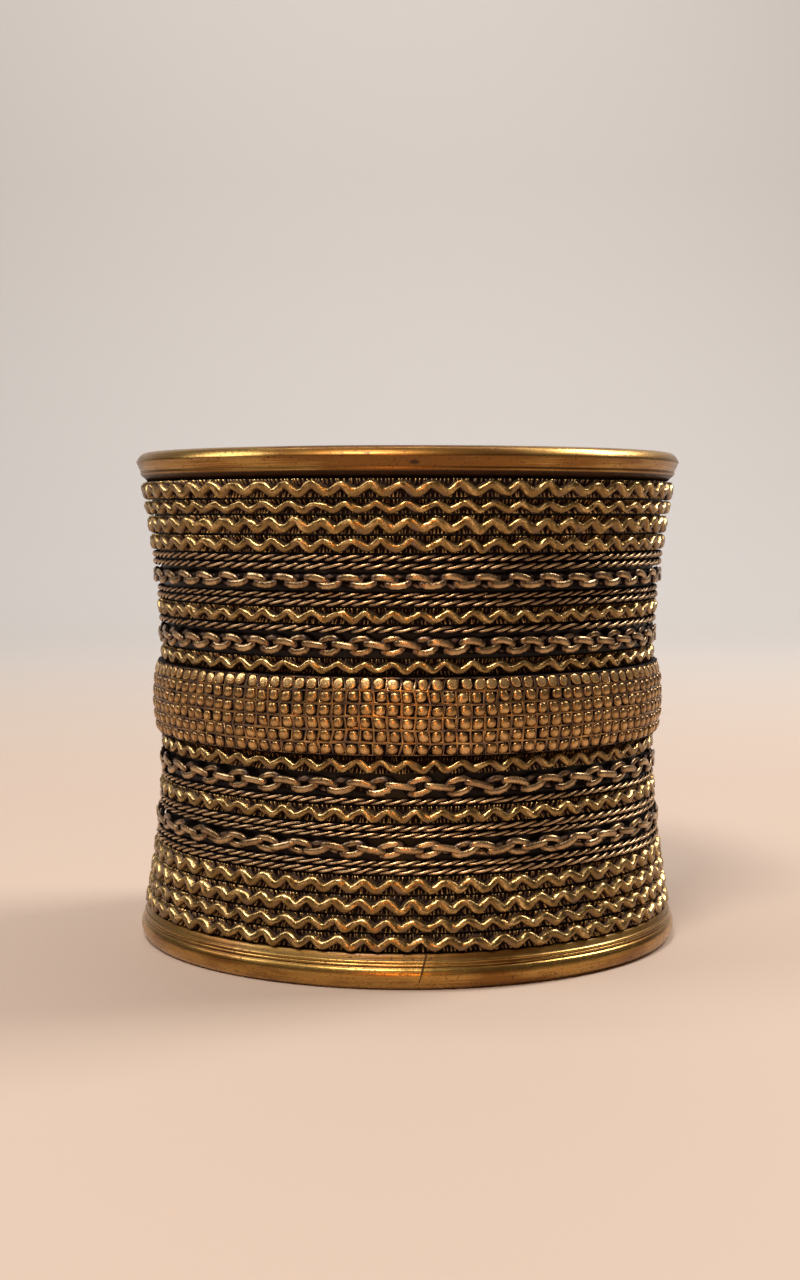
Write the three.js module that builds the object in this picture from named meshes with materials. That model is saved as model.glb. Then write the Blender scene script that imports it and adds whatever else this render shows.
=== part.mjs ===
// Arm cuff in antiqued brass. A flared sheet wall, open at the back, carries rows of zigzag strips, twisted
// ropes, link chains and one broad band of beads, between two polished rims that cap its edges.
// Millimetres, +Z up. The cuff stands on its bottom rim, its front faces -Y and its opening is at the back.

import * as THREE from 'three';

// Plan: an oval, measured at the widest line of the rims, with an opening at the back
const HALF_WIDTH = 35;
const HALF_DEPTH = 29.75;
const OPENING_HALF_ANGLE = THREE.MathUtils.degToRad(24);
const CHORDS = 26;

// Wall: a sheet that is narrowest at the waist and spreads towards both edges
const WALL_THICKNESS = 1;
const WAIST_HALF_WIDTH = 30.9;
const FLARE = 2.1;
const FLARE_REACH = 24.9;
const WALL_LEVELS = 6;

// Clearances: between the wall and what lies on it, and between one row and the next
const SEAT_GAP = 0.2;
const ROW_GAP = 0.08;

// Zigzag ridge: crest above the wall, swing of the crest to either side, bends for each chord of the oval
const ZIGZAG_RISE = 1.2;
const ZIGZAG_SWING = 0.5;
const BENDS_PER_CHORD = 4;

// Chains stand a little higher than the ropes beside them
const CHAIN_DEPTH = 1.35;
const WIRE_SIDES = 8;

// Bead band: crest above the wall at the shoulders and along the middle
const BAND_SHOULDER_RISE = 1.75;
const BAND_CROWN_RISE = 2.3;
const BAND_CROWN_SHARE = 0.5;

// Rim mouldings: depth inside the widest line of the rim, and height above the floor side of the rim
const BOTTOM_RIM_SECTION = [
  { inside: 1.35, up: 4.14 },
  { inside: 0.8, up: 4.0 },
  { inside: 0.55, up: 3.7 },
  { inside: 0.55, up: 3.3 },
  { inside: 0.35, up: 2.6 },
  { inside: 0, up: 1.7 },
  { inside: 0.15, up: 0.7 },
  { inside: 0.6, up: 0.12 },
  { inside: 0.95, up: 0 },
  { inside: 1.8, up: 0 },
  { inside: 2.2, up: 0.4 },
  { inside: 2.3, up: 1.7 },
  { inside: 0.95, up: 1.7 },
];
const TOP_RIM_SECTION = [
  { inside: 1.3, up: 0.06 },
  { inside: 0.85, up: 0.3 },
  { inside: 0.6, up: 0.75 },
  { inside: 0.55, up: 1.2 },
  { inside: 0.05, up: 2.1 },
  { inside: 0, up: 2.5 },
  { inside: 0.25, up: 3.1 },
  { inside: 0.75, up: 3.5 },
  { inside: 1.2, up: 3.6 },
  { inside: 1.7, up: 3.6 },
  { inside: 2.1, up: 3.25 },
  { inside: 2.2, up: 2.35 },
  { inside: 0.95, up: 2.35 },
];
const WALL_BOTTOM_IN_RIM = 1.85;
const WALL_TOP_IN_RIM = 2.2;

// Rows on the outside of the wall from the floor up
const STACK = [
  { kind: 'rim', name: 'bottom_rim', height: 4.2 },
  { kind: 'zigzag', name: 'zigzag_strip_12', height: 2.15 },
  { kind: 'zigzag', name: 'zigzag_strip_11', height: 2.0 },
  { kind: 'zigzag', name: 'zigzag_strip_10', height: 2.3 },
  { kind: 'zigzag', name: 'zigzag_strip_09', height: 2.25 },
  { kind: 'rope', name: 'rope_10', height: 0.93 },
  { kind: 'rope', name: 'rope_09', height: 0.85 },
  { kind: 'chain', name: 'chain_04', height: 2.35 },
  { kind: 'rope', name: 'rope_08', height: 0.8 },
  { kind: 'rope', name: 'rope_07', height: 0.93 },
  { kind: 'zigzag', name: 'zigzag_strip_08', height: 2.12 },
  { kind: 'rope', name: 'rope_06', height: 0.88 },
  { kind: 'chain', name: 'chain_03', height: 2.67 },
  { kind: 'zigzag', name: 'zigzag_strip_07', height: 2.2 },
  { kind: 'band', name: 'bead_band', height: 9.15 },
  { kind: 'zigzag', name: 'zigzag_strip_06', height: 2.1 },
  { kind: 'chain', name: 'chain_02', height: 2.78 },
  { kind: 'rope', name: 'rope_05', height: 0.98 },
  { kind: 'zigzag', name: 'zigzag_strip_05', height: 2.08 },
  { kind: 'rope', name: 'rope_04', height: 0.94 },
  { kind: 'rope', name: 'rope_03', height: 0.8 },
  { kind: 'chain', name: 'chain_01', height: 2.42 },
  { kind: 'rope', name: 'rope_02', height: 0.97 },
  { kind: 'rope', name: 'rope_01', height: 0.95 },
  { kind: 'zigzag', name: 'zigzag_strip_04', height: 2.16 },
  { kind: 'zigzag', name: 'zigzag_strip_03', height: 2.3 },
  { kind: 'zigzag', name: 'zigzag_strip_02', height: 1.83 },
  { kind: 'zigzag', name: 'zigzag_strip_01', height: 2.34 },
  { kind: 'rim', name: 'top_rim', height: 3.6 },
];

// Finishes
const POLISHED_BRASS = { color: 0xb8924a, roughness: 0.28, metalness: 1 };
const ANTIQUE_BRASS = { color: 0x8c6a38, roughness: 0.42, metalness: 1 };

// Heights of the rows, added up from the floor
function placeRows(stack) {
  let floor = 0;
  return stack.map((row) => {
    const placed = { ...row, low: floor, high: floor + row.height };
    floor = placed.high;
    return placed;
  });
}

const rows = placeRows(STACK);
const bottomRim = rows[0];
const topRim = rows[rows.length - 1];
const band = rows.find((row) => row.kind === 'band');
const waist = (band.low + band.high) / 2;

// Half width of the wall's outer face at a height
function wallFace(height) {
  return WAIST_HALF_WIDTH + FLARE * ((height - waist) / FLARE_REACH) ** 2;
}

// The oval, walked clockwise from one end of the opening to the other, as directions from its centre
const oval = new THREE.EllipseCurve(
  0, 0, HALF_WIDTH, HALF_DEPTH,
  Math.PI / 2 - OPENING_HALF_ANGLE, Math.PI / 2 + OPENING_HALF_ANGLE, true,
);
const stations = oval.getSpacedPoints(CHORDS).map(
  (point) => new THREE.Vector2(point.x / HALF_WIDTH, point.y / HALF_DEPTH),
);

// The origin is under the middle of the cuff's box, and the opening makes the back a little shorter
const BACK_REACH = HALF_DEPTH * Math.cos(OPENING_HALF_ANGLE);
const CENTRE_Y = (HALF_DEPTH - BACK_REACH) / 2;

// Straight stock of one unit's length, its section drawn with x outwards and y up
function straightStock(section, steps) {
  const shape = new THREE.Shape(section);
  return new THREE.ExtrudeGeometry(shape, { depth: 1, steps, bevelEnabled: false });
}

// Bends straight stock round the oval, with its flat lengths on the oval's chords
function bendRound(stock) {
  const ovalStep = HALF_WIDTH - HALF_DEPTH;
  const position = stock.getAttribute('position');
  for (let i = 0; i < position.count; i += 1) {
    const along = position.getZ(i) * CHORDS;
    const chord = Math.min(Math.floor(along), CHORDS - 1);
    const direction = stations[chord].clone().lerp(stations[chord + 1], along - chord);
    const halfWidth = position.getX(i);
    const height = position.getY(i);
    position.setXYZ(i, halfWidth * direction.x, (halfWidth - ovalStep) * direction.y + CENTRE_Y, height);
  }
  stock.computeVertexNormals();
  return stock;
}

// Sheet wall, from inside one rim to inside the other
function wallGeometry() {
  const low = bottomRim.low + WALL_BOTTOM_IN_RIM;
  const high = topRim.low + WALL_TOP_IN_RIM;
  const levels = Array.from({ length: WALL_LEVELS }, (_, i) => low + (high - low) * i / (WALL_LEVELS - 1));
  const outer = levels.map((height) => new THREE.Vector2(wallFace(height), height));
  const inner = levels.map((height) => new THREE.Vector2(wallFace(height) - WALL_THICKNESS, height));
  return bendRound(straightStock([...outer, ...inner.reverse()], CHORDS));
}

// Moulded rim, an angle section that hooks over the edge of the wall
function rimGeometry(row, section) {
  const points = section.map(({ inside, up }) => new THREE.Vector2(HALF_WIDTH - inside, row.low + up));
  return bendRound(straightStock(points, CHORDS));
}

// Strip with a three-sided section whose crest swings up and down from bend to bend
function zigzagGeometry(row, index) {
  const low = row.low + ROW_GAP / 2;
  const high = row.high - ROW_GAP / 2;
  const middle = (low + high) / 2;
  const crest = wallFace(middle) + ZIGZAG_RISE;
  const bends = CHORDS * BENDS_PER_CHORD;
  const stock = straightStock([
    new THREE.Vector2(wallFace(low) + SEAT_GAP, low),
    new THREE.Vector2(crest, middle),
    new THREE.Vector2(wallFace(high) + SEAT_GAP, high),
  ], bends);
  const position = stock.getAttribute('position');
  for (let i = 0; i < position.count; i += 1) {
    const onCrest = Math.abs(position.getY(i) - middle) < ROW_GAP;
    const bend = Math.round(position.getZ(i) * bends) + index;
    const swing = bend % 2 === 0 ? ZIGZAG_SWING : -ZIGZAG_SWING;
    if (onCrest) {
      position.setY(i, middle + swing);
    }
  }
  return bendRound(stock);
}

// Round or oval wire that lies on the wall and fills its row
function wireGeometry(row, depth) {
  const middle = (row.low + row.high) / 2;
  const halfHeight = (row.height - ROW_GAP) / 2;
  const centre = wallFace(middle) + SEAT_GAP + depth / 2;
  const outline = new THREE.EllipseCurve(centre, middle, depth / 2, halfHeight).getPoints(WIRE_SIDES);
  return bendRound(straightStock(outline.slice(0, WIRE_SIDES), CHORDS));
}

// Broad crowned band under the beads
function bandGeometry(row) {
  const low = row.low + ROW_GAP / 2;
  const high = row.high - ROW_GAP / 2;
  const crown = row.height * BAND_CROWN_SHARE / 2;
  const foot = wallFace(low) + SEAT_GAP;
  const points = [
    new THREE.Vector2(foot, low),
    new THREE.Vector2(WAIST_HALF_WIDTH + BAND_SHOULDER_RISE, low),
    new THREE.Vector2(WAIST_HALF_WIDTH + BAND_CROWN_RISE, waist - crown),
    new THREE.Vector2(WAIST_HALF_WIDTH + BAND_CROWN_RISE, waist + crown),
    new THREE.Vector2(WAIST_HALF_WIDTH + BAND_SHOULDER_RISE, high),
    new THREE.Vector2(foot, high),
  ];
  return bendRound(straightStock(points, CHORDS));
}

// Geometry of one row of the stack
function rowGeometry(row, index) {
  switch (row.kind) {
    case 'rim':
      return rimGeometry(row, row === topRim ? TOP_RIM_SECTION : BOTTOM_RIM_SECTION);
    case 'zigzag':
      return zigzagGeometry(row, index);
    case 'chain':
      return wireGeometry(row, CHAIN_DEPTH);
    case 'rope':
      return wireGeometry(row, row.height - ROW_GAP);
    default:
      return bandGeometry(row);
  }
}

// A named piece with its own finish
function piece(name, geometry, finish) {
  const mesh = new THREE.Mesh(geometry, new THREE.MeshStandardMaterial(finish));
  mesh.name = name;
  return mesh;
}

const cuff = new THREE.Group();
cuff.add(piece('cuff_wall', wallGeometry(), POLISHED_BRASS));
rows.forEach((row, index) => {
  const finish = row.kind === 'rim' ? POLISHED_BRASS : ANTIQUE_BRASS;
  cuff.add(piece(row.name, rowGeometry(row, index), finish));
});

export default cuff;
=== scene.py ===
"""Arm cuff in antiqued brass, dressed over its fixed frame.

Every row of the cuff is made flat, as straight stock, and is then bent round the oval of the wall.
In straight stock x runs along the row, y is the half width that the cuff has there, and z is the height
above the floor.
"""
import math
import random

import bmesh
import bpy
import numpy as np
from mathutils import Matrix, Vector


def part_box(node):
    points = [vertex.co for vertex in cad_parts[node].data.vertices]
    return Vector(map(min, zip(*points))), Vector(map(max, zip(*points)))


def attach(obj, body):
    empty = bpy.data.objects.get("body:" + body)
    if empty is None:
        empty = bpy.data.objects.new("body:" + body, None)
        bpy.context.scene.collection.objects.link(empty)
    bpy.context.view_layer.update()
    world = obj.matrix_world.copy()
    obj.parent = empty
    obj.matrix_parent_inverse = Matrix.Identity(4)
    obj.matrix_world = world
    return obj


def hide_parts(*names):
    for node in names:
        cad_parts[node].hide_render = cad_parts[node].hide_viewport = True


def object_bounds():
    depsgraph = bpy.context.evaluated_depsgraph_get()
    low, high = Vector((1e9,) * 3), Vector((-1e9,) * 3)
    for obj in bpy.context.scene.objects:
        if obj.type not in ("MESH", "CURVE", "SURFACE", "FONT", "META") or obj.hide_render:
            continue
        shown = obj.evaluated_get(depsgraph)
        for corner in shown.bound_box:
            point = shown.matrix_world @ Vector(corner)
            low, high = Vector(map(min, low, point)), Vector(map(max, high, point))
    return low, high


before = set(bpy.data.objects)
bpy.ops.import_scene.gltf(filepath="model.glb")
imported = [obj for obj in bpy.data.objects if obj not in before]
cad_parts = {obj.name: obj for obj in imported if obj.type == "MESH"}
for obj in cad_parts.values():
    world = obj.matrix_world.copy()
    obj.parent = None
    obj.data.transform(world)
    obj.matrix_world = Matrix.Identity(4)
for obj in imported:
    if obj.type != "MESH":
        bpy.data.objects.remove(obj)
cad_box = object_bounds()

MM = 0.001

# Plan of the cuff, from the frame: an oval with an opening at the back
OPENING_HALF_ANGLE = math.radians(24)
BOX_LOW, BOX_HIGH = cad_box
HALF_WIDTH = (BOX_HIGH[0] - BOX_LOW[0]) / 2
HALF_DEPTH = (BOX_HIGH[1] - BOX_LOW[1]) / (1 + math.cos(OPENING_HALF_ANGLE))
CENTRE_Y = BOX_LOW[1] + HALF_DEPTH
# Half width that straight stock gives to the widest line of the rims
RIM_REACH = 35 * MM

# Wall: outer face at the waist, spread towards the edges, and thickness
WAIST_REACH = 30.9 * MM
FLARE = 2.1 * MM
FLARE_HEIGHT = 24.9 * MM
WALL_THICKNESS = 1.0 * MM
WALL_LEVELS = 13
SHEET_STEPS = 200
BAND_LOW, BAND_HIGH = (corner.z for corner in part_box("bead_band"))
BAND_HALF_HEIGHT = (BAND_HIGH - BAND_LOW) / 2
WAIST = (BAND_LOW + BAND_HIGH) / 2

# Gap between the wall and the ropes, as in the frame
ROW_GAP = 0.2 * MM

# The length of a row is taken half way between the wall and the crest of the ornament
MIDDLE_INSET = 3.4 * MM
OVAL_SAMPLES = 4001

# A wander is a sum of waves: how many of each go into its length, and what brings the sum to about 1
WANDER_WAVES = (0.7, 1.0, 1.6, 2.7)
WANDER_SCALE = 2.4
# Handmade unevenness: how far a quality strays, as an angle, a share or a size in millimetres, over what
# length in millimetres it comes and goes, how far it shifts with the place across the row, and its draw
RIDGE_UNEVEN = {
    "slow_phase": {"by": 0.2, "over": 23, "slant": 0, "draw": 0},
    "quick_phase": {"by": 0.2, "over": 6, "slant": 0, "draw": 1},
    "swing": {"by": 0.16, "over": 9, "slant": 0, "draw": 2},
    "level": {"by": 0.05, "over": 17, "slant": 0, "draw": 3},
    "breadth": {"by": 0.1, "over": 4, "slant": 0, "draw": 4},
    "lump": {"by": 0.07, "over": 1.2, "slant": 3, "draw": 5},
    "dent": {"by": 0.08, "over": 1.9, "slant": 2, "draw": 6},
}
ROPE_UNEVEN = {
    "slow_phase": {"by": 0.5, "over": 15, "slant": 0, "draw": 0},
    "quick_phase": {"by": 0.25, "over": 5, "slant": 0, "draw": 1},
    "level": {"by": 0.03, "over": 12, "slant": 0, "draw": 2},
}
BAND_UNEVEN = {
    "slow_row": {"by": 0.084, "over": 16, "slant": 0, "draw": 61},
    "quick_row": {"by": 0.056, "over": 9, "slant": 40, "draw": 62},
    "column": {"by": 0.2, "over": 18, "slant": 7, "draw": 63},
    "web": {"by": 0.09, "over": 1.9, "slant": 13, "draw": 64},
}
RIM_UNEVEN = {"by": 0.015, "over": 21, "slant": 0, "draw": 71}
# First draw of the zigzags, ropes and chains, from one row to the next of its kind, and of the beads
ZIGZAG_DRAW = 100
ROPE_DRAW = 300
CHAIN_DRAW = 500
DRAWS_PER_ROW = 10
BEAD_DRAW = 41
# Copies of a repeated unit stand this far apart before they are put in their places
UNIT_SPACING = 10.0
# Points of a unit that are nearer than this to each other, or to a cut, are one with it
UNIT_SLIVER = 0.001
# Points nearer to an edge than this lie on it
SLIVER = 0.01 * MM

# Zigzag strips, from the top, in millimetres: where a peak stands from the front's middle and the distance
# between peaks. The breadth of the ridge is a share of its section's
ZIGZAGS = [
    {"node": "zigzag_strip_01", "peak_at": -0.74, "pitch": 3.18, "breadth": 1.28},
    {"node": "zigzag_strip_02", "peak_at": -0.29, "pitch": 3.18, "breadth": 1.28},
    {"node": "zigzag_strip_03", "peak_at": -0.06, "pitch": 3.10, "breadth": 1.38},
    {"node": "zigzag_strip_04", "peak_at": 0.29, "pitch": 3.15, "breadth": 1.22},
    {"node": "zigzag_strip_05", "peak_at": 1.30, "pitch": 3.06, "breadth": 1.20},
    {"node": "zigzag_strip_06", "peak_at": 1.18, "pitch": 3.12, "breadth": 1.20},
    {"node": "zigzag_strip_07", "peak_at": 0.09, "pitch": 3.04, "breadth": 1.22},
    {"node": "zigzag_strip_08", "peak_at": 0.77, "pitch": 3.08, "breadth": 1.22},
    {"node": "zigzag_strip_09", "peak_at": 1.09, "pitch": 2.99, "breadth": 1.30},
    {"node": "zigzag_strip_10", "peak_at": 0.43, "pitch": 2.92, "breadth": 1.32},
    {"node": "zigzag_strip_11", "peak_at": 0.69, "pitch": 2.92, "breadth": 1.34},
    {"node": "zigzag_strip_12", "peak_at": 1.35, "pitch": 2.97, "breadth": 1.32},
]
# Section of the ridge, from its upper foot over the slope and the flat face to its lower foot
# The rub of each corner is wear on the proud face, with painted light on the upward slope and painted shade
# on the downward side
RIDGE_SECTION = [
    {"across": 0.46, "rise": 0.20, "rub_and_light": 0.05},
    {"across": 0.44, "rise": 0.45, "rub_and_light": 0.40},
    {"across": 0.26, "rise": 0.98, "rub_and_light": 0.95},
    {"across": 0.18, "rise": 1.06, "rub_and_light": 1.00},
    {"across": 0.04, "rise": 1.10, "rub_and_light": 0.82},
    {"across": -0.22, "rise": 1.06, "rub_and_light": 0.72},
    {"across": -0.32, "rise": 0.98, "rub_and_light": 0.72},
    {"across": -0.38, "rise": 0.80, "rub_and_light": 0.50},
    {"across": -0.42, "rise": 0.45, "rub_and_light": 0.10},
    {"across": -0.43, "rise": 0.20, "rub_and_light": 0.00},
]
STRIP_HEIGHT = 2.25 * MM
STRIP_INSET = 0.11 * MM
GROUND_RISE = 0.28 * MM
GROUND_FOOT = 0.05 * MM
# The ridge's line lies between a wave and a straight zigzag: its swing up and down, the share that the
# straight zigzag has in it, and how sharp the zigzag's corners are
RIDGE_SWING = 0.44 * MM
RIDGE_STRAIGHT = 0.35
RIDGE_CORNER = 0.97
# How far the lower edge sags in the valleys, how the bar thins where it climbs, the reach over which its
# slope is measured, and the height up to which it has no lumps and dents
RIDGE_SAG = 0.15 * MM
RIDGE_THINNING = 0.14
RIDGE_PROBE = 0.05 * MM
RIDGE_FOOT = 0.4 * MM
RIDGE_STEPS = 1000
DENT_RUB = 2.0
# Ticks on the ground: the two ends of each one stand higher, and no two are alike
TICK_SPACING = 0.44 * MM
TICK_WIDTH = 0.2 * MM
TICK_TAPER = 0.7
TICK_FOOT = 0.1 * MM
TICK_RISE = 0.38 * MM
TICK_END_RISE = 0.8 * MM
TICK_END_FROM = 0.4
TICK_RISE_SPREAD = (0.55, 1.1)
TICK_SHIFT = 0.06 * MM
TICK_LEAN = 0.08 * MM
TICK_RUB = 0.3
TICK_END_RUB = 1.0

# Twisted ropes, from the top: millimetres from one stroke to the next, and painted light, how much lighter
# the lower ropes are painted
ROPES = [
    {"node": "rope_01", "stroke": 1.62, "painted_light": 0.0},
    {"node": "rope_02", "stroke": 1.70, "painted_light": 0.0},
    {"node": "rope_03", "stroke": 1.58, "painted_light": 0.0},
    {"node": "rope_04", "stroke": 1.66, "painted_light": 0.0},
    {"node": "rope_05", "stroke": 1.78, "painted_light": 0.0},
    {"node": "rope_06", "stroke": 1.64, "painted_light": 0.1},
    {"node": "rope_07", "stroke": 1.72, "painted_light": 0.16},
    {"node": "rope_08", "stroke": 1.68, "painted_light": 0.16},
    {"node": "rope_09", "stroke": 1.62, "painted_light": 0.16},
    {"node": "rope_10", "stroke": 1.70, "painted_light": 0.16},
]
# The strands: their number, how many wire radii they stand from the rope's middle, their sides and steps,
# and the depth, in wire radii too, over which the patina is rubbed away
STRANDS = 3
STRAND_SPREAD = 1.5
STRAND_SIDES = 7
STEPS_PER_STROKE = 5
STRAND_RUB_FROM = 0.05
STRAND_RUB_SPAN = 2.35

# Link chains, from the top, in millimetres and degrees: length of two links, place of an edge-on link and
# of the next flat one after it, the turn about the row with its swing, the swing's wave and where it starts,
# the tilt of either link, and painted light, darker on the upper chains and lighter on the lower ones
CHAINS = [
    {"node": "chain_01", "pair": 3.82, "bar_at": 1.21, "ring_after": 1.40,
     "roll": 45, "swing": 8, "wave": 30, "start": 0.0, "bar_tilt": -11, "ring_tilt": 4, "painted_light": -0.22},
    {"node": "chain_02", "pair": 3.60, "bar_at": 0.03, "ring_after": 1.75,
     "roll": 24, "swing": 22, "wave": 34, "start": 1.8, "bar_tilt": -9, "ring_tilt": 10, "painted_light": -0.12},
    {"node": "chain_03", "pair": 4.47, "bar_at": 3.58, "ring_after": 2.18,
     "roll": 22, "swing": 22, "wave": 24, "start": 9.0, "bar_tilt": -8, "ring_tilt": 14, "painted_light": 0.0},
    {"node": "chain_04", "pair": 4.17, "bar_at": 0.06, "ring_after": 2.08,
     "roll": 40, "swing": 46, "wave": 32, "start": 6.5, "bar_tilt": -8, "ring_tilt": 14, "painted_light": 0.05},
]
# The links: a squashed oval of round wire, set at a depth from the wall and worn down in front
LINK_WIRE = 0.86 * MM
LINK_CLEARANCE = 0.06 * MM
LINK_OVERRUN = 0.05 * MM
LINK_UNIT_RADIUS = 2
LINK_STEPS = 12
LINK_SIDES = 6
LINK_SQUASH = 0.62
LINK_SEAT = 0.85 * MM
LINK_WORN_FROM = 1.22 * MM
LINK_WORN_SHARE = 0.3
# How far a link strays along the row, and in its turn and tilt
LINK_SHIFT = 0.04 * MM
LINK_ROLL = 0.06
LINK_TILT = 0.04
# Rub of a link by its depth, along its sides, and at the crest of its sides
LINK_RUB_FROM = 0.78 * MM
LINK_RUB_SPAN = 0.45 * MM
LINK_SIDE_RUB = 0.9
LINK_SIDE_MIDDLE = 0.6
LINK_CREST_RUB = 0.4
LINK_CREST_FROM = 0.8

# Bead band, with a raised web round every bead
BEAD_ROWS = 6
BEAD_COLUMNS = 101
BAND_CROWN = 2.06 * MM
BAND_EDGE = 1.56 * MM
BAND_FOOT = 0.1 * MM
BAND_EDGE_STEADINESS = 4
WEB_HALF_WIDTH = 0.13 * MM
WEB_SLOPE = 0.04 * MM
WEB_RISE = 0.18 * MM
WEB_RUB = 0.62
WEB_ROUGH_RUB = 4
BEAD_HALF_LENGTH = 0.645 * MM
BEAD_HALF_HEIGHT = 0.66 * MM
BEAD_RISE = 0.46 * MM
BEAD_SIDES = 12
BEAD_RINGS = 8
BEAD_FULLNESS = 0.5
# Spread of the beads' squareness, sizes, places and skew
BEAD_SQUARENESS = (2.2, 3.4)
BEAD_LENGTH_SPREAD = (0.88, 1.06)
BEAD_HEIGHT_SPREAD = (0.92, 1.06)
BEAD_RISE_SPREAD = (0.86, 1.12)
BEAD_SHIFT_ALONG = 0.045 * MM
BEAD_SHIFT_UP = 0.04 * MM
BEAD_SKEW = 0.12
# The top row is worn flat: height of the cut, what is left of the dome, and the cut's lean
TOP_ROW_CUT = 0.62
TOP_ROW_DOME = 0.1
TOP_ROW_LEAN = 0.4
# Rub of a bead at its foot, what its crown adds, and what the worn top row adds
BEAD_FOOT_RUB = 0.12
BEAD_CROWN_RUB = 0.8
TOP_ROW_RUB = 0.45
# Keeps the sum of a bead's squared-off sides from being zero at its crown
TINY = 1e-12

# Rim mouldings, from the top round the outside: depth inside the widest line, height in the rim, and how
# clean and lit the metal is painted: low in the grooves and on the undersides, held down on the lower rim's
# upper band as painted shade
TOP_RIM_SECTION = [
    {"inside": 1.65, "up": 3.60, "clean_and_lit": 0.9},
    {"inside": 1.25, "up": 3.60, "clean_and_lit": 1.0},
    {"inside": 0.85, "up": 3.50, "clean_and_lit": 1.0},
    {"inside": 0.45, "up": 3.20, "clean_and_lit": 1.0},
    {"inside": 0.14, "up": 2.72, "clean_and_lit": 1.0},
    {"inside": 0.05, "up": 2.52, "clean_and_lit": 1.0},
    {"inside": 0.03, "up": 2.42, "clean_and_lit": 0.45},
    {"inside": 0.10, "up": 2.28, "clean_and_lit": 0.55},
    {"inside": 0.30, "up": 1.80, "clean_and_lit": 0.6},
    {"inside": 0.50, "up": 1.32, "clean_and_lit": 0.6},
    {"inside": 0.58, "up": 1.22, "clean_and_lit": 0.35},
    {"inside": 0.54, "up": 1.12, "clean_and_lit": 0.9},
    {"inside": 0.51, "up": 1.00, "clean_and_lit": 0.95},
    {"inside": 0.57, "up": 0.86, "clean_and_lit": 0.5},
    {"inside": 0.74, "up": 0.70, "clean_and_lit": 0.1},
    {"inside": 1.10, "up": 0.38, "clean_and_lit": 0.0},
    {"inside": 1.38, "up": 0.08, "clean_and_lit": 0.0},
    {"inside": 0.95, "up": 2.35, "clean_and_lit": 0.0},
    {"inside": 2.20, "up": 2.35, "clean_and_lit": 0.6},
    {"inside": 2.05, "up": 3.30, "clean_and_lit": 0.9},
]
BOTTOM_RIM_SECTION = [
    {"inside": 1.35, "up": 4.14, "clean_and_lit": 0.0},
    # Painted shade: the upper band is held at middling values so that it reads as a darker reflection
    {"inside": 1.02, "up": 4.10, "clean_and_lit": 0.3},
    {"inside": 0.90, "up": 4.00, "clean_and_lit": 0.52},
    {"inside": 0.72, "up": 3.52, "clean_and_lit": 0.52},
    {"inside": 0.66, "up": 3.42, "clean_and_lit": 0.2},
    {"inside": 0.50, "up": 3.34, "clean_and_lit": 1.0},
    {"inside": 0.43, "up": 3.22, "clean_and_lit": 1.0},
    {"inside": 0.48, "up": 3.10, "clean_and_lit": 0.8},
    {"inside": 0.57, "up": 3.02, "clean_and_lit": 0.2},
    {"inside": 0.46, "up": 2.95, "clean_and_lit": 0.9},
    {"inside": 0.38, "up": 2.84, "clean_and_lit": 0.95},
    {"inside": 0.43, "up": 2.73, "clean_and_lit": 0.7},
    {"inside": 0.54, "up": 2.64, "clean_and_lit": 0.0},
    {"inside": 0.36, "up": 2.55, "clean_and_lit": 0.8},
    {"inside": 0.20, "up": 2.40, "clean_and_lit": 1.0},
    {"inside": 0.05, "up": 1.95, "clean_and_lit": 1.0},
    {"inside": 0.00, "up": 1.60, "clean_and_lit": 1.0},
    {"inside": 0.05, "up": 1.20, "clean_and_lit": 1.0},
    {"inside": 0.22, "up": 0.62, "clean_and_lit": 1.0},
    {"inside": 0.52, "up": 0.18, "clean_and_lit": 0.8},
    {"inside": 0.90, "up": 0.00, "clean_and_lit": 0.3},
    {"inside": 1.80, "up": 0.00, "clean_and_lit": 0.3},
    {"inside": 2.20, "up": 0.40, "clean_and_lit": 0.8},
    {"inside": 2.30, "up": 1.70, "clean_and_lit": 0.6},
    {"inside": 0.95, "up": 1.70, "clean_and_lit": 0.0},
]
RIM_STEPS = 320

# Hairline crack through the front of the bottom rim: its place at the rim's top and foot in millimetres, its
# size, how far the rim's steps crowd about it, and how soon they come back to their places beyond it
CRACK_TOP = {"along": 1.95, "up": 4.1}
CRACK_FOOT = {"along": 1.05, "up": 0.8}
CRACK_WIDTH = 0.05 * MM
CRACK_DEPTH = 0.22 * MM
CRACK_CROWDING = 0.985
CRACK_FADE = 6

# Colours of the patina, of the ground under the zigzags, of the dull bronze film and of the rims' tarnish,
# which also serves as their painted shade
PATINA = (0.008, 0.004, 0.003, 1)
GROUND = (0.016, 0.008, 0.006, 1)
FILM = (0.22, 0.145, 0.105, 1)
TARNISH_AND_SHADE = (0.04, 0.016, 0.005, 1)
# Patterns: the middle of a noise and its roughness, and the share of a spot's radius that it fills evenly
NOISE_MIDDLE = 0.5
NOISE_ROUGHNESS = 0.55
SPOT_CORE = 0.3

# Antiqued brass: how far before and after the full baring of the metal its gold sets in, the rub at which it
# is brightest, the measure of its blotches, and how metallic and how rough it is
GOLD_BEFORE = 0.15
GOLD_AFTER = 0.1
BRIGHTEST_RUB = 1.2
BLOTCH = 0.5
RUBBED_METAL = 0.9
PATINA_ROUGHNESS = 0.6
RUBBED_POLISH = 0.32
GRAIN_ROUGHNESS = 0.2

# Polished brass: two warm, darker painted reflections and a smudge on the fronts of the rims, in millimetres
# on the flat stock
UPPER_PAINTED_REFLECTION = {"along": -1.0, "up": 60.1, "width": 34.0, "height": 12.0}
LOWER_PAINTED_REFLECTION = {"along": -1.0, "up": 3.9, "width": 34.0, "height": 1.6}
SMUDGE = {"along": 0.6, "up": 60.1, "width": 1.5, "height": 0.7}
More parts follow.
